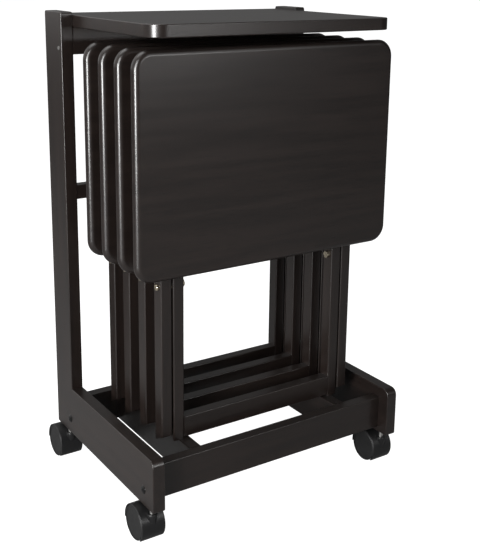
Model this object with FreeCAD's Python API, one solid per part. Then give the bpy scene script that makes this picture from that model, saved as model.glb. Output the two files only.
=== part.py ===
import FreeCAD, Part
import math
import os

# A rolling rack that stores four folding tray tables upright, one behind the other.
# Millimetres, +X to the right, +Y to the back, +Z up, z = 0 on the floor.
# y = 0 is the front of the feet while the pieces are made; save() centres them on the origin.

# folding table
table_count = 4
tray_width = 500.0
tray_length = 359.0
tray_thickness = 18.5
tray_corner_r = 29.0
tray_edge_r = 9.0            # almost a full bullnose
leg_width = 20.0
leg_depth = 24.0
leg_edge_r = 2.5
leg_top_r = 8.0
leg_inset = 56.0             # side edge of the tray to the outer leg
leg_gap = 2.5                # outer leg to inner leg, holds a washer
tray_leg_gap = 9.2
foot_to_pivot = 269.9
foot_to_hinge = 610.5
hinge_inset = 40.0           # hinge axis to the edge of the tray behind it when open
catch_inset = 48.2           # catch to the opposite edge
rod_r = 5.0
rod_seat = 12.0              # depth of a rod's blind hole in a leg
rod_wall = 5.0               # wood above the catch rod
rod_gap = 1.5                # hinge rod to the top of the inner leg
stretcher_height = 36.5
stretcher_thickness = 19.5
stretcher_rise = 2.5
tenon_thickness = 10.0
tenon_height = 24.0
tenon_length = 10.0
cleat_width = 18.0
cleat_gap = 2.5              # cleat to the inner leg beside it
cleat_thickness = 9.5
cleat_overrun = 28.0         # cleat beyond the hinge axis
ear_r = 9.5                  # cleat around the hinge rod
catch_reach = 14.0           # half length of the catch block
catch_lip = 5.0              # catch block past the rod's centre
catch_play = 0.3

# pivot hardware of a table
bolt_r = 3.0
pivot_head_r = 5.5
pivot_head_height = 3.4
pivot_head_edge_r = 2.0
pivot_nut_r = 6.5
pivot_nut_height = 5.0
washer_r = 8.0
side_play = 0.2              # between faces that turn on each other
running_gap = 0.08           # radial clearance of a turning shaft
snug_gap = 0.05              # radial clearance of a fixed shaft
table_gap = 4.3              # one stored table to the next
stand_gap = 0.2              # leg end to the bearer it stands on
over = 1.0                   # a cut past the face that it opens

# rack
side_reveal = 2.0            # side board past the edge of a tray
board = 21.5
board_edge_r = 1.5
foot_height = 89.0
foot_nose_r = 13.0
foot_heel_r = 3.0
post_depth = 68.5
post_top_r = 4.0
post_lip = 5.0               # post above the shelf
rail_thickness = 20.0
rail_edge_r = 1.5
rail_drop = 9.0              # underside of the lower rails above the underside of the feet
rail_height = 59.5
front_rail_setback = 23.5
bearer_thickness = 21.0
bearer_overlap = 9.5         # inner leg over the bearer
row_setback = 49.3           # front tray behind the front of the feet
row_clearance = 40.5         # rear table to the posts
middle_rail_rise = 441.0
middle_rail_height = 25.0
upper_rail_height = 46.0
shelf_thickness = 20.0
shelf_setback = 30.0
shelf_corner_r = 28.0
shelf_edge_r = 1.5
lift_gap = 18.0              # tray to the underside of the shelf

# rack fasteners
bolt_rise = 18.5             # lower bolts above the underside of their rail
upper_bolt_rise = 11.0
bolt_length = 58.0
bolt_head_r = 4.4
bolt_head_height = 4.5
counterbore = 6.0
cap_r = 7.2
cap_dome = 3.2
cap_plug = 1.2
button_r = 3.2
button_height = 1.4
nut_r = 5.0
nut_length = 14.0
nut_inset = 28.0             # barrel nut from the end of its rail
dowel_r = 3.0
dowel_length = 26.0
dowel_end_gap = 1.0
dowel_spacing = 12.0
shelf_dowel_spacing = 18.0

# casters
wheel_r = 28.5
wheel_width = 15.0
wheel_edge_r = 1.5
rim_wall = 3.0
wheel_recess = 0.8
wheel_face = 2.5             # outer face left over the end of the axle
web = 10.0                   # hood's centre plate between the wheels
wheel_gap = 1.0
hood_gap = 1.0
hood_wall = 2.0
hood_skirt = 3.0             # rear of the hood below the level of the axle
hood_apron = 7.0             # front of the hood above the floor
hood_edge_r = 0.9
web_clear = 9.0              # centre plate above the floor
trail = 25.0                 # axle behind the swivel stem
boss_r = 8.5
boss_toe_r = 4.5             # lower end of the boss, inside the hood
boss_height = 5.0            # straight part of the boss above its taper
boss_taper = 18.0
boss_edge_r = 1.5
boss_drop = 7.0              # top of the boss below the top of the hood
hood_clearance = 4.5         # top of the hood to the socket above it
flange_r = 8.0
flange_thickness = 1.5
socket_r = 5.6
socket_length = 38.0
stem_r = 4.0
stem_depth = 18.0            # stem inside the hood
axle_r = 3.0
axle_end_gap = 0.5
front_stem_setback = 25.0
rear_stem_inset = 31.0

# sizes that follow from the ones above
hood_inner_r = wheel_r + hood_gap
hood_outer_r = hood_inner_r + hood_wall
hood_top = wheel_r + hood_outer_r
boss_top = hood_top - boss_drop
socket_bottom = hood_top + hood_clearance
foot_bottom = socket_bottom + flange_thickness
rail_bottom = foot_bottom + rail_drop
rail_top = rail_bottom + rail_height
leg_bottom = rail_top + stand_gap
pivot_z = leg_bottom + foot_to_pivot
hinge_z = leg_bottom + foot_to_hinge
tray_top = hinge_z + hinge_inset
tray_bottom = tray_top - tray_length
shelf_bottom = tray_top + lift_gap
shelf_top = shelf_bottom + shelf_thickness
post_top = shelf_top + post_lip
inner_leg_top = hinge_z - rod_r - rod_gap
catch_rod_z = inner_leg_top - rod_wall - rod_r

table_depth = tray_thickness + tray_leg_gap + leg_depth
table_pitch = table_depth + table_gap
row_depth = table_count * table_pitch - table_gap
post_front = row_setback + row_depth + row_clearance
rack_depth = post_front + post_depth

half_rack = tray_width / 2 + side_reveal
inner_face = half_rack - board
outer_leg_x = tray_width / 2 - leg_inset - leg_width
inner_leg_x = outer_leg_x - leg_gap - leg_width
cleat_x = inner_leg_x - cleat_gap - cleat_width
bearer_x = inner_leg_x + bearer_overlap - bearer_thickness
board_mid = half_rack - board / 2
rear_stem_y = rack_depth - rear_stem_inset
y_centre = max(rack_depth, rear_stem_y + trail + hood_outer_r) / 2

# The table stands level when both rods are at one height: the spread between them is the
# third side of the triangle that the two upper leg lengths make at the pivot.
catch_distance = tray_length - hinge_inset - catch_inset
hinge_arm = hinge_z - pivot_z
catch_arm = catch_rod_z - pivot_z
outer_reach = (hinge_arm ** 2 - catch_arm ** 2 + catch_distance ** 2) / (2 * catch_distance)
outer_tilt = math.asin(outer_reach / hinge_arm)
inner_tilt = math.asin((catch_distance - outer_reach) / catch_arm)

X = FreeCAD.Vector(1, 0, 0)
Y = FreeCAD.Vector(0, 1, 0)
Z = FreeCAD.Vector(0, 0, 1)


def save(name, *solids):
    shape = Part.makeCompound(list(solids)) if len(solids) > 1 else solids[0]
    shape.translate(FreeCAD.Vector(0, -y_centre, 0))
    shape.exportStep("parts/" + name + ".step")
    print(name, len(shape.Solids), round(shape.Volume / 1000, 1), shape.isValid())


def block(x0, x1, y0, y1, z0, z1):
    return Part.makeBox(x1 - x0, y1 - y0, z1 - z0, FreeCAD.Vector(x0, y0, z0))


def rod_x(x0, x1, y, z, r):
    return Part.makeCylinder(r, x1 - x0, FreeCAD.Vector(x0, y, z), X)


def rod_y(x, y0, y1, z, r):
    return Part.makeCylinder(r, y1 - y0, FreeCAD.Vector(x, y0, z), Y)


def rod_z(x, y, z0, z1, r):
    return Part.makeCylinder(r, z1 - z0, FreeCAD.Vector(x, y, z0), Z)


def plate_x(points, x0, x1):
    """A board of outline (y, z) points between two x planes."""
    corners = [FreeCAD.Vector(x0, y, z) for y, z in points]
    outline = Part.makePolygon(corners + corners[:1])
    return Part.Face(outline).extrude(FreeCAD.Vector(x1 - x0, 0, 0))


def edges_along(shape, axis):
    found = []
    for edge in shape.Edges:
        if isinstance(edge.Curve, Part.Line) and abs(edge.Curve.Direction.dot(axis)) > 0.999:
            found.append(edge)
    return found


def edges_at_x(shape, x):
    """Edges that lie wholly in the plane of one x."""
    return [e for e in shape.Edges if abs(e.BoundBox.XMin - x) < 0.01 and abs(e.BoundBox.XMax - x) < 0.01]


def edge_at(shape, y, z):
    """The edge along X that passes through a (y, z) point."""
    for edge in edges_along(shape, X):
        if abs(edge.Vertexes[0].Y - y) < 0.01 and abs(edge.Vertexes[0].Z - z) < 0.01:
            return edge
    raise ValueError("no edge at " + str((y, z)))


def mirrored(shape):
    return shape.mirror(FreeCAD.Vector(0, 0, 0), X)


def both_sides(solids):
    return list(solids) + [mirrored(s) for s in solids]


def cut_all(shape, tools):
    return shape.cut(Part.makeCompound(tools))


# rack

front_rail_y = front_rail_setback
rear_rail_y = post_front
front_mid_y = front_rail_y + rail_thickness / 2
rear_mid_y = rear_rail_y + rail_thickness / 2
upper_rail_z = shelf_bottom - upper_rail_height
middle_rail_z = foot_bottom + middle_rail_rise
lower_bolt_z = rail_bottom + bolt_rise
upper_bolt_z = upper_rail_z + upper_bolt_rise
lower_bolts = [(front_mid_y, lower_bolt_z), (rear_mid_y, lower_bolt_z)]
upper_bolts = [(rear_mid_y, upper_bolt_z)]


def dowel_places():
    """Centres and axes of the right half's dowels."""
    high = rail_top - bolt_rise
    low = rail_bottom + bolt_rise
    places = [((inner_face, front_mid_y, high), X), ((inner_face, rear_mid_y, high), X)]
    places.append(((inner_face, rear_mid_y, shelf_bottom - upper_bolt_rise), X))
    middle = middle_rail_z + middle_rail_height / 2
    post_mid_y = rack_depth - post_depth / 2
    for way in (-1, 1):
        places.append(((inner_face, rear_mid_y, middle + way * dowel_spacing / 2), X))
        shelf_y = post_mid_y + way * shelf_dowel_spacing / 2
        places.append(((inner_face, shelf_y, shelf_bottom + shelf_thickness / 2), X))
    bearer_mid = bearer_x + bearer_thickness / 2
    for z in (low, high):
        places.append(((bearer_mid, front_rail_y + rail_thickness, z), Y))
        places.append(((bearer_mid, rear_rail_y, z), Y))
    return places


def dowel(centre, axis, r, length):
    start = FreeCAD.Vector(*centre) - axis * (length / 2)
    return Part.makeCylinder(r, length, start, axis)


def dowels():
    return both_sides([dowel(c, a, dowel_r, dowel_length) for c, a in dowel_places()])


def dowel_holes():
    r = dowel_r + snug_gap
    length = dowel_length + 2 * dowel_end_gap
    return both_sides([dowel(c, a, r, length) for c, a in dowel_places()])


def lower_bolt(y, z):
    seat = half_rack - counterbore
    shaft = rod_x(seat - bolt_length, seat, y, z, bolt_r)
    head = rod_x(seat, seat + bolt_head_height, y, z, bolt_head_r)
    return shaft.fuse(head).removeSplitter()


def lower_bolt_hole(y, z):
    seat = half_rack - counterbore
    shaft = rod_x(seat - bolt_length - dowel_end_gap, seat, y, z, bolt_r + snug_gap)
    head = rod_x(seat, half_rack + over, y, z, bolt_head_r + snug_gap)
    return shaft.fuse(head)


def upper_bolt(y, z):
    shaft = rod_x(half_rack - bolt_length, half_rack, y, z, bolt_r)
    head = rod_x(half_rack, half_rack + button_height, y, z, button_r)
    return shaft.fuse(head).removeSplitter()


def upper_bolt_hole(y, z):
    return rod_x(half_rack - bolt_length - dowel_end_gap, half_rack + over, y, z, bolt_r + snug_gap)


def bolt_cap(y, z):
    """A domed cover that plugs the counterbore of a lower bolt."""
    ball_r = (cap_r ** 2 + cap_dome ** 2) / (2 * cap_dome)
    ball = Part.makeSphere(ball_r, FreeCAD.Vector(half_rack + cap_dome - ball_r, y, z))
    dome = ball.common(rod_x(half_rack, half_rack + cap_dome, y, z, cap_r))
    plug = rod_x(half_rack - cap_plug, half_rack, y, z, bolt_head_r)
    return dome.fuse(plug).removeSplitter()


def barrel_nut(y, z):
    x = inner_face - nut_inset
    nut = rod_y(x, y - nut_length / 2, y + nut_length / 2, z, nut_r)
    return nut.cut(rod_x(x - 2 * nut_r, x + 2 * nut_r, y, z, bolt_r + snug_gap))


def barrel_nut_hole(y, z):
    x = inner_face - nut_inset
    return rod_y(x, y - nut_length / 2, y + rail_thickness, z, nut_r + snug_gap)


def stem_place(side, end):
    x = board_mid if side == "right" else -board_mid
    y = front_stem_setback if end == "front" else rear_stem_y
    return x, y


def socket_holes():
    r = socket_r + snug_gap
    z1 = foot_bottom + socket_length + dowel_end_gap
    return both_sides([rod_z(board_mid, y, foot_bottom - over, z1, r) for y in (front_stem_setback, rear_stem_y)])


def caster_sockets():
    sockets = []
    for y in (front_stem_setback, rear_stem_y):
        sleeve = rod_z(board_mid, y, socket_bottom, foot_bottom + socket_length, socket_r)
        flange = rod_z(board_mid, y, socket_bottom, foot_bottom, flange_r)
        bore = rod_z(board_mid, y, socket_bottom - over, foot_bottom + socket_length + over, stem_r + running_gap)
        sockets.append(sleeve.fuse(flange).cut(bore).removeSplitter())
    return both_sides(sockets)


def rack_holes():
    holes = [lower_bolt_hole(y, z) for y, z in lower_bolts]
    holes += [upper_bolt_hole(y, z) for y, z in upper_bolts]
    holes += [barrel_nut_hole(y, z) for y, z in lower_bolts + upper_bolts]
    return both_sides(holes) + dowel_holes() + socket_holes()


def right_side_board():
    """An L: a long foot with the post rising at its back end."""
    foot_top = foot_bottom + foot_height
    outline = [(0, foot_bottom), (rack_depth, foot_bottom), (rack_depth, post_top),
               (post_front, post_top), (post_front, foot_top), (0, foot_top)]
    side = plate_x(outline, inner_face, half_rack)
    side = side.makeFillet(foot_nose_r, [edge_at(side, 0, foot_top)])
    side = side.makeFillet(foot_heel_r, [edge_at(side, 0, foot_bottom), edge_at(side, rack_depth, foot_bottom)])
    side = side.makeFillet(post_top_r, [edge_at(side, rack_depth, post_top), edge_at(side, post_front, post_top)])
    return side.makeFillet(board_edge_r, edges_at_x(side, half_rack) + edges_at_x(side, inner_face))


def cross_rail(y, z, height):
    rail = block(-inner_face, inner_face, y, y + rail_thickness, z, z + height)
    return rail.makeFillet(rail_edge_r, edges_along(rail, X))


def bearer():
    y0 = front_rail_y + rail_thickness
    piece = block(bearer_x, bearer_x + bearer_thickness, y0, rear_rail_y, rail_bottom, rail_top)
    return piece.makeFillet(rail_edge_r, edges_along(piece, Y))


def shelf():
    piece = block(-inner_face, inner_face, shelf_setback, rack_depth, shelf_bottom, shelf_top)
    corners = [e for e in edges_along(piece, Z) if abs(e.Vertexes[0].Y - shelf_setback) < 0.01]
    piece = piece.makeFillet(shelf_corner_r, corners)
    rims = [e for e in piece.Edges if e.BoundBox.ZLength < 0.01]
    return piece.makeFillet(shelf_edge_r, rims)


def build_rack():
    holes = rack_holes()
    right = cut_all(right_side_board(), holes)
    left = mirrored(right)
    save("right_side", right)
    save("left_side", left)
    save("front_rail", cut_all(cross_rail(front_rail_y, rail_bottom, rail_height), holes))
    save("rear_rail", cut_all(cross_rail(rear_rail_y, rail_bottom, rail_height), holes))
    save("middle_rail", cut_all(cross_rail(rear_rail_y, middle_rail_z, middle_rail_height), holes))
    save("upper_rail", cut_all(cross_rail(rear_rail_y, upper_rail_z, upper_rail_height), holes))
    right = cut_all(bearer(), holes)
    left = mirrored(right)
    save("right_bearer", right)
    save("left_bearer", left)
    save("shelf", cut_all(shelf(), holes))
    bolts = [lower_bolt(y, z) for y, z in lower_bolts] + [upper_bolt(y, z) for y, z in upper_bolts]
    save("rail_bolts", *both_sides(bolts))
    save("barrel_nuts", *both_sides([barrel_nut(y, z) for y, z in lower_bolts + upper_bolts]))
    save("bolt_caps", *both_sides([bolt_cap(y, z) for y, z in lower_bolts]))
    save("dowels", *dowels())
    save("caster_sockets", *caster_sockets())


# casters: each is made with its swivel axis at x = y = 0

wheel_inner_x = web / 2 + wheel_gap
wheel_outer_x = wheel_inner_x + wheel_width
bore_end = wheel_outer_x - wheel_recess - wheel_face
stem_bottom = boss_top - stem_depth


def stem_boss():
    """A post around the stem that tapers into the front of the hood."""
    straight = boss_top - boss_height
    post = rod_z(0, 0, straight, boss_top, boss_r)
    post = post.makeFillet(boss_edge_r, [e for e in post.Edges if e.BoundBox.ZMin > boss_top - 0.01])
    toe = Part.makeCone(boss_toe_r, boss_r, boss_taper, FreeCAD.Vector(0, 0, straight - boss_taper), Z)
    return post.fuse(toe).cut(rod_x(-boss_r, boss_r, trail, wheel_r, hood_inner_r))


def caster_hood():
    """A barrel cover, flush with the wheels and low at the front, with a centre plate and the boss."""
    half = wheel_outer_x
    shell = rod_x(-half, half, trail, wheel_r, hood_outer_r)
    shell = shell.makeFillet(hood_edge_r, [e for e in shell.Edges if isinstance(e.Curve, Part.Circle)])
    shell = shell.cut(rod_x(-half, half, trail, wheel_r, hood_inner_r))
    reach = 2 * hood_outer_r
    shell = shell.cut(block(-half, half, trail - reach, trail, -reach, hood_apron))
    shell = shell.cut(block(-half, half, trail, trail + reach, -reach, wheel_r - hood_skirt))
    plate = rod_x(-web / 2, web / 2, trail, wheel_r, hood_outer_r)
    plate = plate.cut(block(-web, web, trail - reach, trail + reach, -reach, web_clear))
    hood = shell.fuse([plate, stem_boss()]).removeSplitter()
    hood = hood.cut(rod_z(0, 0, stem_bottom, boss_top + over, stem_r + snug_gap))
    return hood.cut(rod_x(-web, web, trail, wheel_r, axle_r + snug_gap))


def caster_stem():
    return rod_z(0, 0, stem_bottom, foot_bottom + socket_length - dowel_end_gap, stem_r)


def caster_axle():
    end = bore_end - axle_end_gap
    return rod_x(-end, end, trail, wheel_r, axle_r)


def caster_wheel():
    """The wheel on the +X side of the centre plate, bored from its inner face."""
    wheel = rod_x(wheel_inner_x, wheel_outer_x, trail, wheel_r, wheel_r)
    wheel = wheel.makeFillet(wheel_edge_r, [e for e in wheel.Edges if isinstance(e.Curve, Part.Circle)])
    dish = rod_x(wheel_outer_x - wheel_recess, wheel_outer_x + over, trail, wheel_r, wheel_r - rim_wall)
    return wheel.cut(dish).cut(rod_x(0, bore_end, trail, wheel_r, axle_r + running_gap))


def build_casters():
    for end in ("front", "rear"):
        for side in ("left", "right"):
            x, y = stem_place(side, end)
            spot = FreeCAD.Vector(x, y, 0)
            name = end + "_" + side
            save(name + "_hood", caster_hood().translated(spot))
            save(name + "_pins", caster_stem().translated(spot), caster_axle().translated(spot))
            save(name + "_wheel_r", caster_wheel().translated(spot))
            save(name + "_wheel_l", mirrored(caster_wheel()).translated(spot))


# folding tables: each is made with the front of its tray at y = 0

tray_back = tray_thickness
leg_front = tray_back + tray_leg_gap
leg_back = leg_front + leg_depth
leg_mid = leg_front + leg_depth / 2
catch_z = hinge_z - catch_distance
outer_leg_end = outer_leg_x + leg_width
inner_leg_end = inner_leg_x + leg_width


def tray():
    half = tray_width / 2
    piece = block(-half, half, 0, tray_thickness, tray_bottom, tray_top)
    piece = piece.makeFillet(tray_corner_r, edges_along(piece, Y))
    rims = [e for e in piece.Edges if e.BoundBox.YLength < 0.01]
    return piece.makeFillet(tray_edge_r, rims)


def cleat():
    """A slat under the tray with an ear for the hinge rod and an open catch for the other rod."""
    x1 = cleat_x + cleat_width
    slat = block(cleat_x, x1, tray_back, tray_back + cleat_thickness, catch_z - catch_reach, hinge_z + cleat_overrun)
    ear = block(cleat_x, x1, tray_back, leg_mid, hinge_z - ear_r, hinge_z + ear_r)
    ear = ear.fuse(rod_x(cleat_x, x1, leg_mid, hinge_z, ear_r))
    catch = block(cleat_x, x1, tray_back, leg_mid + catch_lip, catch_z - catch_reach, catch_z + catch_reach)
    mouth_r = rod_r + catch_play
    mouth = rod_x(cleat_x, x1, leg_mid, catch_z, mouth_r)
    mouth = mouth.fuse(block(cleat_x, x1, leg_mid, leg_back, catch_z - mouth_r, catch_z + mouth_r))
    piece = slat.fuse([ear, catch]).cut(mouth).cut(rod_x(cleat_x, x1, leg_mid, hinge_z, rod_r + running_gap))
    return piece.removeSplitter()


def outer_leg():
    """The foot is level when the leg leans back by outer_tilt, so its rear edge is the lowest."""
    rise = leg_depth * math.tan(outer_tilt)
    outline = [(leg_front, leg_bottom + rise), (leg_back, leg_bottom), (leg_back, hinge_z), (leg_front, hinge_z)]
    leg = plate_x(outline, outer_leg_x, outer_leg_end)
    leg = leg.fuse(rod_x(outer_leg_x, outer_leg_end, leg_mid, hinge_z, leg_depth / 2)).removeSplitter()
    leg = leg.makeFillet(leg_edge_r, edges_along(leg, Z))
    leg = leg.cut(rod_x(outer_leg_x - over, outer_leg_x + rod_seat, leg_mid, hinge_z, rod_r + snug_gap))
    return leg.cut(rod_x(outer_leg_x - over, outer_leg_end + over, leg_mid, pivot_z, bolt_r + running_gap))


def inner_leg():
    """Its top stops under the hinge rod and its front edge is the lowest."""
    rise = leg_depth * math.tan(inner_tilt)
    outline = [(leg_front, leg_bottom), (leg_back, leg_bottom + rise), (leg_back, inner_leg_top),
               (leg_front, inner_leg_top)]
    leg = plate_x(outline, inner_leg_x, inner_leg_end)
    tops = [edge_at(leg, leg_back, inner_leg_top), edge_at(leg, leg_front, inner_leg_top)]
    leg = leg.makeFillet(leg_top_r, tops)
    leg = leg.makeFillet(leg_edge_r, edges_along(leg, Z))
    leg = leg.cut(rod_x(inner_leg_x - over, inner_leg_x + rod_seat, leg_mid, catch_rod_z, rod_r + snug_gap))
    leg = leg.cut(rod_x(inner_leg_x - over, inner_leg_end + over, leg_mid, pivot_z, bolt_r + snug_gap))
    return leg.cut(tenon())


def tenon():
    """The end of the stretcher that fills a mortise in the inner leg."""
    y0 = leg_front + (stretcher_thickness - tenon_thickness) / 2
    z0 = leg_bottom + stretcher_rise + (stretcher_height - tenon_height) / 2
    return block(inner_leg_x, inner_leg_x + tenon_length, y0, y0 + tenon_thickness, z0, z0 + tenon_height)


def stretcher():
    z0 = leg_bottom + stretcher_rise
    bar = block(-inner_leg_x, inner_leg_x, leg_front, leg_front + stretcher_thickness, z0, z0 + stretcher_height)
    bar = bar.makeFillet(rail_edge_r, edges_along(bar, X))
    return bar.fuse([tenon(), mirrored(tenon())])


def cross_rod(leg_x, z):
    reach = leg_x + rod_seat - dowel_end_gap
    return rod_x(-reach, reach, leg_mid, z, rod_r)


def pivot_bolt():
    x0 = inner_leg_x - pivot_nut_height
    seat = outer_leg_end + side_play
    shaft = rod_x(x0, seat, leg_mid, pivot_z, bolt_r)
    head = rod_x(seat, seat + pivot_head_height, leg_mid, pivot_z, pivot_head_r)
    head = head.makeFillet(pivot_head_edge_r, edges_at_x(head, seat + pivot_head_height))
    return shaft.fuse(head).removeSplitter()


def pivot_nut():
    x0 = inner_leg_x - pivot_nut_height
    corners = []
    for k in range(6):
        angle = math.radians(60 * k)
        y = leg_mid + pivot_nut_r * math.cos(angle)
        z = pivot_z + pivot_nut_r * math.sin(angle)
        corners.append((y, z))
    nut = plate_x(corners, x0, inner_leg_x)
    return nut.cut(rod_x(x0 - over, inner_leg_x + over, leg_mid, pivot_z, bolt_r + snug_gap))


def pivot_washer():
    x0 = inner_leg_end + side_play
    x1 = outer_leg_x - side_play
    ring = rod_x(x0, x1, leg_mid, pivot_z, washer_r)
    return ring.cut(rod_x(x0 - over, x1 + over, leg_mid, pivot_z, bolt_r + snug_gap))


def build_tables():
    """Table 1 is the rear one, the last is the front one."""
    pieces = {
        "tray": [tray()],
        "cleats": both_sides([cleat()]),
        "outer_legs": both_sides([outer_leg()]),
        "hinge_rod": [cross_rod(outer_leg_x, hinge_z)],
        "inner_legs": both_sides([inner_leg()]),
        "inner_rails": [stretcher(), cross_rod(inner_leg_x, catch_rod_z)],
        "pivot_bolts": both_sides([pivot_bolt(), pivot_nut(), pivot_washer()]),
    }
    for number in range(1, table_count + 1):
        y = row_setback + (table_count - number) * table_pitch
        for name, solids in pieces.items():
            moved = [s.translated(FreeCAD.Vector(0, y, 0)) for s in solids]
            save(name + "_" + str(number), *moved)


os.makedirs("parts", exist_ok=True)
build_rack()
build_casters()
build_tables()
print("foot_bottom", foot_bottom, "post_top", post_top, "rack_depth", rack_depth, "y_centre", y_centre)
print("hinge_z", hinge_z, "pivot_z", pivot_z, "tilts", math.degrees(outer_tilt), math.degrees(inner_tilt))
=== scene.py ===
import math

import bpy
from mathutils import Matrix, Vector


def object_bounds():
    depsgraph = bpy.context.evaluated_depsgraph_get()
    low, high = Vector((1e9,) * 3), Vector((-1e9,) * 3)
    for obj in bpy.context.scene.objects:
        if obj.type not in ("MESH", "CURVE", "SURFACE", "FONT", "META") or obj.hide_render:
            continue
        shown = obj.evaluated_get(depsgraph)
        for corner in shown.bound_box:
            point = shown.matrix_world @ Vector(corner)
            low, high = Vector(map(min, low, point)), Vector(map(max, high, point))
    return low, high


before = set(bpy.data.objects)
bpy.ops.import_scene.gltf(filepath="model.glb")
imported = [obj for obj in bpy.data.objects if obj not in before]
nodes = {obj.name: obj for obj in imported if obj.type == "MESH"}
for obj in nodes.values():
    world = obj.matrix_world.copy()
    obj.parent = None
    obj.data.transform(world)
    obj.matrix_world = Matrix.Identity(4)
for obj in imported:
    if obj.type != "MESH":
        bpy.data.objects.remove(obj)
cadLow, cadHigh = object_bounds()
print("frame loaded", len(nodes), "nodes")


def addNode(tree, kind, place, **settings):
    node = tree.nodes.new(kind)
    node.location = place
    for name, value in settings.items():
        setattr(node, name, value)
    return node


def setInputs(node, **values):
    for name, value in values.items():
        node.inputs[name].default_value = value


def addRange(tree, source, place, given, wanted=(0.0, 1.0), kind="LINEAR"):
    node = addNode(tree, "ShaderNodeMapRange", place, interpolation_type=kind)
    setInputs(node, **{"From Min": given[0], "From Max": given[1],
                       "To Min": wanted[0], "To Max": wanted[1]})
    tree.links.new(source, node.inputs["Value"])
    return node.outputs["Result"]


def newGroup(name, inputs, outputs):
    group = bpy.data.node_groups.new(name, "ShaderNodeTree")
    for label, kind, value in inputs:
        socket = group.interface.new_socket(name=label, in_out="INPUT", socket_type=kind)
        if value is not None:
            socket.default_value = value
    for label, kind in outputs:
        group.interface.new_socket(name=label, in_out="OUTPUT", socket_type=kind)
    start = addNode(group, "NodeGroupInput", (-1200, 0))
    end = addNode(group, "NodeGroupOutput", (900, 0))
    return group, start, end


def useGroup(tree, group, place, **values):
    node = addNode(tree, "ShaderNodeGroup", place, node_tree=group)
    setInputs(node, **values)
    return node


grainLook = {
    "bands": {"Scale": 2.6, "Detail": 4.0, "Roughness": 0.55, "Distortion": 0.3},
    "pores": {"Scale": 26.0, "Detail": 2.0, "Roughness": 0.45, "Distortion": 0.3},
    "fibres": {"Scale": 80.0, "Detail": 3.0, "Roughness": 0.6},
    "bandRange": (0.3, 0.72),
    "poreRange": (0.57, 0.7),
    "bandShare": 0.55,
    "fibreShare": 0.5,
    "poreShare": 0.5,
    "fibreHeight": 0.35,
}


def buildGrainGroup(look):
    # bands are broad colour changes, pores are short dark dashes, fibres the finest lines
    group, start, end = newGroup(
        "lacqueredGrain",
        [("Vector", "NodeSocketVector", None),
         ("Light", "NodeSocketColor", (0.03, 0.02, 0.016, 1)),
         ("Dark", "NodeSocketColor", (0.008, 0.006, 0.005, 1)),
         ("Roughness", "NodeSocketFloat", 0.33),
         ("RoughnessSwing", "NodeSocketFloat", 0.1)],
        [("Color", "NodeSocketColor"),
         ("Roughness", "NodeSocketFloat"),
         ("Height", "NodeSocketFloat")])
    link = group.links.new
    bands = addNode(group, "ShaderNodeTexNoise", (-900, 300))
    setInputs(bands, **look["bands"])
    fibres = addNode(group, "ShaderNodeTexNoise", (-900, 0))
    setInputs(fibres, **look["fibres"])
    pores = addNode(group, "ShaderNodeTexNoise", (-900, -300))
    setInputs(pores, **look["pores"])
    for texture in (bands, fibres, pores):
        link(start.outputs["Vector"], texture.inputs["Vector"])
    bandMask = addRange(group, bands.outputs["Fac"], (-600, 300), look["bandRange"],
                        kind="SMOOTHSTEP")
    poreMask = addRange(group, pores.outputs["Fac"], (-600, -300), look["poreRange"],
                        kind="SMOOTHSTEP")
    streak = addNode(group, "ShaderNodeMath", (-350, 200), operation="MULTIPLY_ADD")
    streak.inputs[1].default_value = look["bandShare"]
    link(bandMask, streak.inputs[0])
    fibreLight = addNode(group, "ShaderNodeMath", (-600, 60), operation="MULTIPLY")
    fibreLight.inputs[1].default_value = look["fibreShare"]
    link(fibres.outputs["Fac"], fibreLight.inputs[0])
    link(fibreLight.outputs[0], streak.inputs[2])
    clear = addNode(group, "ShaderNodeMath", (-100, 60), operation="SUBTRACT", use_clamp=True)
    poreDark = addNode(group, "ShaderNodeMath", (-350, -200), operation="MULTIPLY")
    poreDark.inputs[1].default_value = look["poreShare"]
    link(poreMask, poreDark.inputs[0])
    link(streak.outputs[0], clear.inputs[0])
    link(poreDark.outputs[0], clear.inputs[1])
    mix = addNode(group, "ShaderNodeMix", (200, 200), data_type="RGBA")
    link(clear.outputs[0], mix.inputs[0])
    link(start.outputs["Dark"], mix.inputs[6])
    link(start.outputs["Light"], mix.inputs[7])
    swing = addNode(group, "ShaderNodeMath", (200, -50), operation="MULTIPLY_ADD")
    centred = addNode(group, "ShaderNodeMath", (0, -120), operation="SUBTRACT")
    centred.inputs[1].default_value = 0.5   # the mean of a noise
    link(bands.outputs["Fac"], centred.inputs[0])
    link(centred.outputs[0], swing.inputs[0])
    link(start.outputs["RoughnessSwing"], swing.inputs[1])
    link(start.outputs["Roughness"], swing.inputs[2])
    height = addNode(group, "ShaderNodeMath", (200, -300), operation="SUBTRACT")
    fine = addNode(group, "ShaderNodeMath", (0, -300), operation="MULTIPLY")
    fine.inputs[1].default_value = look["fibreHeight"]
    link(fibres.outputs["Fac"], fine.inputs[0])
    link(fine.outputs[0], height.inputs[0])
    link(poreMask, height.inputs[1])
    link(mix.outputs[2], end.inputs["Color"])
    link(swing.outputs[0], end.inputs["Roughness"])
    link(height.outputs[0], end.inputs["Height"])
    return group


dustLook = {"detail": 5.0, "roughness": 0.65, "facing": (0.2, 1.0), "share": (0.25, 1.0)}


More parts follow.
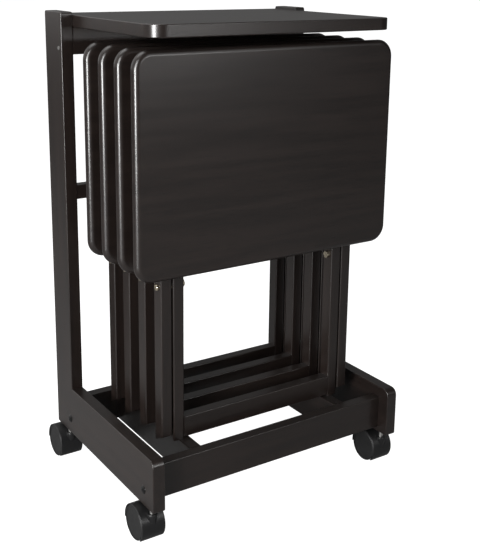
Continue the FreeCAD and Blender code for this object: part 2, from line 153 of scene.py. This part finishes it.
def buildDustGroup(look):
    # a thin pale film that gathers in patches on faces that look up
    group, start, end = newGroup(
        "settledDust",
        [("Color", "NodeSocketColor", (0, 0, 0, 1)),
         ("Dust", "NodeSocketColor", (0.3, 0.28, 0.26, 1)),
         ("Amount", "NodeSocketFloat", 0.04),
         ("Scale", "NodeSocketFloat", 9.0)],
        [("Color", "NodeSocketColor")])
    link = group.links.new
    coords = addNode(group, "ShaderNodeTexCoord", (-1000, -200))
    patches = addNode(group, "ShaderNodeTexNoise", (-750, -200))
    setInputs(patches, Detail=look["detail"], Roughness=look["roughness"])
    link(coords.outputs["Object"], patches.inputs["Vector"])
    link(start.outputs["Scale"], patches.inputs["Scale"])
    facing = addNode(group, "ShaderNodeNewGeometry", (-1000, -500))
    split = addNode(group, "ShaderNodeSeparateXYZ", (-750, -500))
    link(facing.outputs["Normal"], split.inputs[0])
    up = addRange(group, split.outputs["Z"], (-500, -500), look["facing"], look["share"])
    both = addNode(group, "ShaderNodeMath", (-250, -300), operation="MULTIPLY")
    link(patches.outputs["Fac"], both.inputs[0])
    link(up, both.inputs[1])
    amount = addNode(group, "ShaderNodeMath", (0, -200), operation="MULTIPLY", use_clamp=True)
    link(both.outputs[0], amount.inputs[0])
    link(start.outputs["Amount"], amount.inputs[1])
    mix = addNode(group, "ShaderNodeMix", (300, 100), data_type="RGBA")
    link(amount.outputs[0], mix.inputs[0])
    link(start.outputs["Color"], mix.inputs[6])
    link(start.outputs["Dust"], mix.inputs[7])
    link(mix.outputs[2], end.inputs["Color"])
    return group


grainGroup = buildGrainGroup(grainLook)
dustGroup = buildDustGroup(dustLook)


def startMaterial(name):
    material = bpy.data.materials.new(name)
    material.use_nodes = True
    tree = material.node_tree
    tree.nodes.clear()
    output = addNode(tree, "ShaderNodeOutputMaterial", (700, 0))
    shader = addNode(tree, "ShaderNodeBsdfPrincipled", (400, 0))
    tree.links.new(shader.outputs[0], output.inputs[0])
    return material, tree, shader


woodLook = {
    "light": (0.0105, 0.0068, 0.0055, 1),
    "dark": (0.0042, 0.0029, 0.0026, 1),
    "trayLight": (0.0110, 0.0074, 0.0062, 1),
    "roughness": 0.29,
    "swing": 0.07,
    "along": 1.4,      # stretch along the grain
    "across": 24.0,
    "bump": 0.00003,
    "dust": 0.02,
    "footTop": 0.155,  # the side boards' grain turns from the foot to the post here
    "step": 0.37,      # each piece is cut from another place in the wood
    "drift": (1.0, 1.7, 0.6),
    "footShift": 0.5,
    "bumpStrength": 0.5,
    "ior": 1.5,
}


def grainScale(axis, look):
    scale = [look["across"]] * 3
    scale["XYZ".index(axis)] = look["along"]
    return scale


def grainAlong(tree, axis, offset, look, light, top):
    coords = addNode(tree, "ShaderNodeTexCoord", (-1100, top))
    mapping = addNode(tree, "ShaderNodeMapping", (-900, top))
    setInputs(mapping, Scale=grainScale(axis, look),
              Location=[offset * part for part in look["drift"]])
    tree.links.new(coords.outputs["Object"], mapping.inputs["Vector"])
    grain = useGroup(tree, grainGroup, (-700, top), Light=light, Dark=look["dark"],
                     Roughness=look["roughness"], RoughnessSwing=look["swing"])
    tree.links.new(mapping.outputs[0], grain.inputs["Vector"])
    return grain.outputs["Color"], grain.outputs["Roughness"], grain.outputs["Height"]


def turnedGrain(tree, post, offset, look, light):
    # the foot's grain runs from front to back, under the upright grain of the post
    foot = grainAlong(tree, "Y", offset + look["footShift"], look, light, -500)
    coords = addNode(tree, "ShaderNodeTexCoord", (-700, -900))
    split = addNode(tree, "ShaderNodeSeparateXYZ", (-500, -900))
    tree.links.new(coords.outputs["Object"], split.inputs[0])
    low = addNode(tree, "ShaderNodeMath", (-300, -900), operation="LESS_THAN")
    low.inputs[1].default_value = look["footTop"]
    tree.links.new(split.outputs["Z"], low.inputs[0])
    mixed = []
    for row, (kind, first, second) in enumerate((("RGBA", 6, 7), ("FLOAT", 2, 3), ("FLOAT", 2, 3))):
        mix = addNode(tree, "ShaderNodeMix", (-400, 200 - 220 * row), data_type=kind)
        tree.links.new(low.outputs[0], mix.inputs[0])
        tree.links.new(post[row], mix.inputs[first])
        tree.links.new(foot[row], mix.inputs[second])
        mixed.append(mix.outputs[2] if kind == "RGBA" else mix.outputs[0])
    return mixed


def espressoWood(name, axis, offset, look, light, turned):
    material, tree, shader = startMaterial(name)
    link = tree.links.new
    color, rough, height = grainAlong(tree, axis, offset, look, light, 0)
    if turned:
        color, rough, height = turnedGrain(tree, (color, rough, height), offset, look, light)
    dust = useGroup(tree, dustGroup, (-150, 100), Amount=look["dust"])
    link(color, dust.inputs["Color"])
    link(dust.outputs["Color"], shader.inputs["Base Color"])
    link(rough, shader.inputs["Roughness"])
    bump = addNode(tree, "ShaderNodeBump", (100, -300))
    setInputs(bump, Strength=look["bumpStrength"], Distance=look["bump"])
    link(height, bump.inputs["Height"])
    link(bump.outputs[0], shader.inputs["Normal"])
    setInputs(shader, IOR=look["ior"])
    return material


plasticLook = {
    "hood": {"color": (0.0045, 0.0045, 0.0048, 1), "roughness": 0.36,
        "grain": 900.0, "bump": 0.00006},
    "wheel": {"color": (0.0038, 0.0038, 0.0040, 1), "roughness": 0.5,
        "grain": 500.0, "bump": 0.00008},
    "cap": {"color": (0.0008, 0.0008, 0.0008, 1), "roughness": 0.16,
        "grain": 1200.0, "bump": 0.00003},
}


plasticSurface = {
    "sparkDetail": 2.0,
    "wearScale": 28.0,
    "wearDetail": 5.0,
    "wearRoughness": 0.7,
    "wearRange": (0.3, 0.7),
    "polish": 0.06,
    "scuff": 0.1,
    "dust": 0.012,
    "dustScale": 30.0,
    "bumpStrength": 0.5,
    "specular": 0.36,
}


def mouldedPlastic(name, look, surface):
    material, tree, shader = startMaterial(name)
    link = tree.links.new
    coords = addNode(tree, "ShaderNodeTexCoord", (-900, 0))
    spark = addNode(tree, "ShaderNodeTexNoise", (-650, -250))
    setInputs(spark, Scale=look["grain"], Detail=surface["sparkDetail"])
    wear = addNode(tree, "ShaderNodeTexNoise", (-650, 100))
    setInputs(wear, Scale=surface["wearScale"], Detail=surface["wearDetail"],
              Roughness=surface["wearRoughness"])
    link(coords.outputs["Object"], spark.inputs["Vector"])
    link(coords.outputs["Object"], wear.inputs["Vector"])
    dust = useGroup(tree, dustGroup, (-150, 100), Color=look["color"], Amount=surface["dust"],
                    Scale=surface["dustScale"])
    link(dust.outputs["Color"], shader.inputs["Base Color"])
    wanted = (look["roughness"] - surface["polish"], look["roughness"] + surface["scuff"])
    rough = addRange(tree, wear.outputs["Fac"], (-300, -50), surface["wearRange"], wanted)
    link(rough, shader.inputs["Roughness"])
    bump = addNode(tree, "ShaderNodeBump", (100, -300))
    setInputs(bump, Strength=surface["bumpStrength"], Distance=look["bump"])
    setInputs(shader, **{"Specular IOR Level": surface["specular"]})
    link(spark.outputs["Fac"], bump.inputs["Height"])
    link(bump.outputs[0], shader.inputs["Normal"])
    return material


metalLook = {
    "zinc": {"color": (0.55, 0.55, 0.54, 1), "tint": (0.38, 0.37, 0.35, 1), "roughness": 0.34},
    "pivot": {"color": (0.62, 0.56, 0.44, 1), "tint": (0.40, 0.34, 0.25, 1), "roughness": 0.26},
}


metalSurface = {
    "stainScale": 160.0,
    "stainDetail": 4.0,
    "stainRoughness": 0.6,
    "stainRange": (0.3, 0.7),
    "polish": 0.08,
    "scuff": 0.12,
}


def platedSteel(name, look, surface):
    material, tree, shader = startMaterial(name)
    link = tree.links.new
    coords = addNode(tree, "ShaderNodeTexCoord", (-900, 0))
    stain = addNode(tree, "ShaderNodeTexNoise", (-650, 100))
    setInputs(stain, Scale=surface["stainScale"], Detail=surface["stainDetail"],
              Roughness=surface["stainRoughness"])
    link(coords.outputs["Object"], stain.inputs["Vector"])
    mix = addNode(tree, "ShaderNodeMix", (-100, 150), data_type="RGBA")
    mix.inputs[6].default_value = look["color"]
    mix.inputs[7].default_value = look["tint"]
    link(stain.outputs["Fac"], mix.inputs[0])
    link(mix.outputs[2], shader.inputs["Base Color"])
    wanted = (look["roughness"] - surface["polish"], look["roughness"] + surface["scuff"])
    rough = addRange(tree, stain.outputs["Fac"], (-300, -100), surface["stainRange"], wanted)
    link(rough, shader.inputs["Roughness"])
    setInputs(shader, Metallic=1.0)
    return material


dowelLook = {"light": (0.52, 0.36, 0.21, 1), "dark": (0.36, 0.22, 0.12, 1),
             "roughness": 0.6, "swing": 0.1}


def beechDowel(name, look):
    material, tree, shader = startMaterial(name)
    coords = addNode(tree, "ShaderNodeTexCoord", (-900, 0))
    grain = useGroup(tree, grainGroup, (-450, 0), Light=look["light"], Dark=look["dark"],
                     Roughness=look["roughness"], RoughnessSwing=look["swing"])
    tree.links.new(coords.outputs["Object"], grain.inputs["Vector"])
    tree.links.new(grain.outputs["Color"], shader.inputs["Base Color"])
    tree.links.new(grain.outputs["Roughness"], shader.inputs["Roughness"])
    return material


def dress(node, material):
    mesh = nodes[node].data
    mesh.materials.clear()
    mesh.materials.append(material)


# the way the grain runs in each kind of piece
grainAxes = {
    "right_side": "Z", "left_side": "Z", "shelf": "X", "front_rail": "X", "rear_rail": "X",
    "middle_rail": "X", "upper_rail": "X", "left_bearer": "Y", "right_bearer": "Y",
    "tray": "X", "cleats": "Z", "outer_legs": "Z", "hinge_rod": "X", "inner_legs": "Z",
    "inner_rails": "X",
}


def dressEverything():
    plastics = {}
    for key, look in plasticLook.items():
        plastics[key] = mouldedPlastic(key + "Plastic", look, plasticSurface)
    metals = {}
    for key, look in metalLook.items():
        metals[key] = platedSteel(key + "Steel", look, metalSurface)
    beech = beechDowel("beechDowelWood", dowelLook)
    for count, node in enumerate(sorted(nodes)):
        kind = node.rstrip("_1234")   # the tables' pieces are numbered
        if kind in grainAxes:
            light = woodLook["trayLight"] if kind == "tray" else woodLook["light"]
            turned = node in ("right_side", "left_side")
            dress(node, espressoWood(node + "Wood", grainAxes[kind], woodLook["step"] * count,
                                     woodLook, light, turned))
        elif node.endswith("_hood"):
            dress(node, plastics["hood"])
        elif "_wheel_" in node:
            dress(node, plastics["wheel"])
        elif node in ("bolt_caps", "caster_sockets"):
            dress(node, plastics["cap"])
        elif kind == "pivot_bolts":
            dress(node, metals["pivot"])
        elif node == "dowels":
            dress(node, beech)
        else:
            dress(node, metals["zinc"])


dressEverything()
print("materials assigned")


stageLook = {
    "floorSize": 40.0,
    "floorColor": (0.25, 0.25, 0.25, 1),
    "floorRoughness": 0.8,
    "floorGlow": 1.0,
}


def makeFloor(look):
    bpy.ops.object.select_all(action="DESELECT")
    bpy.ops.mesh.primitive_plane_add(size=look["floorSize"], location=(0, 0, cadLow.z))
    floor = bpy.context.object
    floor.name = "studioFloor"
    bpy.ops.object.transform_apply(location=True, rotation=True, scale=True)
    material, tree, shader = startMaterial("paleFloor")
    setInputs(shader, **{"Base Color": look["floorColor"], "Roughness": look["floorRoughness"],
                         "Emission Color": (1, 1, 1, 1), "Specular IOR Level": 0.0})
    path = addNode(tree, "ShaderNodeLightPath", (-100, -200))
    glow = addNode(tree, "ShaderNodeMath", (150, -200), operation="MULTIPLY")
    glow.inputs[1].default_value = look["floorGlow"]   # only the eye sees the glow
    tree.links.new(path.outputs["Is Camera Ray"], glow.inputs[0])
    tree.links.new(glow.outputs[0], shader.inputs["Emission Strength"])
    floor.data.materials.append(material)


worldLook = {
    "front": 0.06,
    "rear": 1.35,
    "below": 0.2,
    "right": 0.16,
    "frontToRear": (-0.7, 0.8),
    "belowToLevel": (-0.35, 0.0),
    "leftToRight": (-0.3, 0.4),
    "seen": 1.0,
}


def makeWorld(look):
    # white to the eye; the light it gives fades to the front, to the right and below
    world = bpy.data.worlds.new("studioWorld")
    bpy.context.scene.world = world
    world.use_nodes = True
    tree = world.node_tree
    tree.nodes.clear()
    link = tree.links.new
    coords = addNode(tree, "ShaderNodeTexCoord", (-900, 0))
    split = addNode(tree, "ShaderNodeSeparateXYZ", (-700, 0))
    link(coords.outputs["Generated"], split.inputs[0])
    fade = addRange(tree, split.outputs["Y"], (-450, 0), look["frontToRear"],
                    (look["front"], look["rear"]), "SMOOTHSTEP")
    rise = addRange(tree, split.outputs["Z"], (-450, -300), look["belowToLevel"],
                    (look["below"], 1.0), "SMOOTHSTEP")
    across = addRange(tree, split.outputs["X"], (-450, -600), look["leftToRight"],
                      (1.0, look["right"]), "SMOOTHSTEP")
    level = addNode(tree, "ShaderNodeMath", (-250, -250), operation="MULTIPLY")
    link(fade, level.inputs[0])
    link(rise, level.inputs[1])
    sided = addNode(tree, "ShaderNodeMath", (-250, -450), operation="MULTIPLY")
    link(level.outputs[0], sided.inputs[0])
    link(across, sided.inputs[1])
    lit = addNode(tree, "ShaderNodeBackground", (-200, -100))
    link(sided.outputs[0], lit.inputs["Strength"])
    seen = addNode(tree, "ShaderNodeBackground", (-200, 100))
    setInputs(seen, Color=(1, 1, 1, 1), Strength=look["seen"])
    path = addNode(tree, "ShaderNodeLightPath", (-200, 400))
    mix = addNode(tree, "ShaderNodeMixShader", (50, 0))
    link(path.outputs["Is Camera Ray"], mix.inputs[0])
    link(lit.outputs[0], mix.inputs[1])
    link(seen.outputs[0], mix.inputs[2])
    output = addNode(tree, "ShaderNodeOutputWorld", (250, 0))
    link(mix.outputs[0], output.inputs[0])


lights = {
    "leftSoftbox": {
        "place": (-2.3, -1.7, 1.75), "aim": (0, 0, 0.6),
        "size": (0.9, 1.3), "power": 70,
    },
    "leftStrip": {
        "place": (-2.3, -1.15, 0.62), "aim": (0, 0, 0.6),
        "size": (0.5, 0.7), "power": 95,
    },
    "frontPanel": {
        "place": (0.80, -2.3, 0.95), "aim": (0, 0, 0.7),
        "size": (0.8, 0.35), "power": 10,
    },
    "topSoftbox": {
        "place": (-0.3, 0.6, 3.0), "aim": (0, 0, 0.4),
        "size": (2.6, 2.0), "power": 40,
    },
    "frontFill": {
        "place": (1.6, -3.2, 2.2), "aim": (0, 0, 0.5),
        "size": (2.0, 2.0), "power": 16,
    },
}


def makeLights(table):
    for name, look in table.items():
        lamp = bpy.data.lights.new(name, "AREA")
        lamp.shape = "RECTANGLE"
        lamp.size, lamp.size_y = look["size"]
        lamp.energy = look["power"]
        holder = bpy.data.objects.new(name, lamp)
        bpy.context.collection.objects.link(holder)
        holder.location = look["place"]
        aim = Vector(look["aim"]) - Vector(look["place"])
        holder.rotation_euler = aim.to_track_quat("-Z", "Y").to_euler()


cameraLook = {
    "place": (-0.88183, -1.39173, 0.91025),
    "yaw": -33.41,
    "pitch": 13.09,     # looking down
    "roll": 0.67,
    "lens": 61.83,
    "sensor": 36,
    "shiftDown": 0.1673,
}


def makeCamera(look):
    data = bpy.data.cameras.new("productCamera")
    data.lens = look["lens"]
    data.sensor_width = look["sensor"]
    data.shift_y = -look["shiftDown"]
    holder = bpy.data.objects.new("productCamera", data)
    bpy.context.collection.objects.link(holder)
    turn = Matrix.Rotation(math.radians(look["yaw"]), 4, "Z")
    tilt = Matrix.Rotation(math.radians(90 - look["pitch"]), 4, "X")
    roll = Matrix.Rotation(math.radians(look["roll"]), 4, "Z")
    holder.matrix_world = Matrix.Translation(look["place"]) @ turn @ tilt @ roll
    bpy.context.scene.camera = holder


makeFloor(stageLook)
makeWorld(worldLook)
makeLights(lights)
makeCamera(cameraLook)
bpy.context.scene.view_settings.view_transform = "Standard"
print("stage ready")
